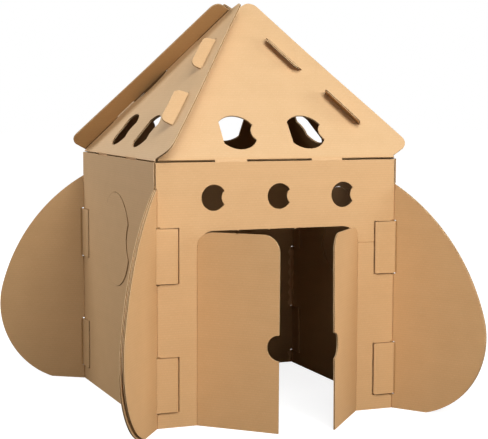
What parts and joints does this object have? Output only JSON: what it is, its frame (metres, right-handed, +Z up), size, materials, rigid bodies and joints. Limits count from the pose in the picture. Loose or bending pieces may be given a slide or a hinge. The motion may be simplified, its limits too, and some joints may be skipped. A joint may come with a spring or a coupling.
{
  "type": "cardboard playhouse",
  "caption": "Rocket-shaped play cabin of folded corrugated board, with a pyramid roof, corner fins, a double door and round windows.",
  "frame": {"origin": "on the floor, at the middle of the whole footprint, fins and door leaves included", "axes": "+Z up, the doorway faces -Y, +X to the right as seen from in front of the doorway"},
  "size_m": [1.3356, 1.2583, 1.3128],
  "materials": {
    "kraft_board": "brown corrugated board with kraft liners, die-cut edges showing the flutes"
  },
  "bodies": {
    "root": {"front_sheet": "kraft_board", "right_sheet": "kraft_board", "back_sheet": "kraft_board", "left_sheet": "kraft_board"}
  },
  "joints": []
}
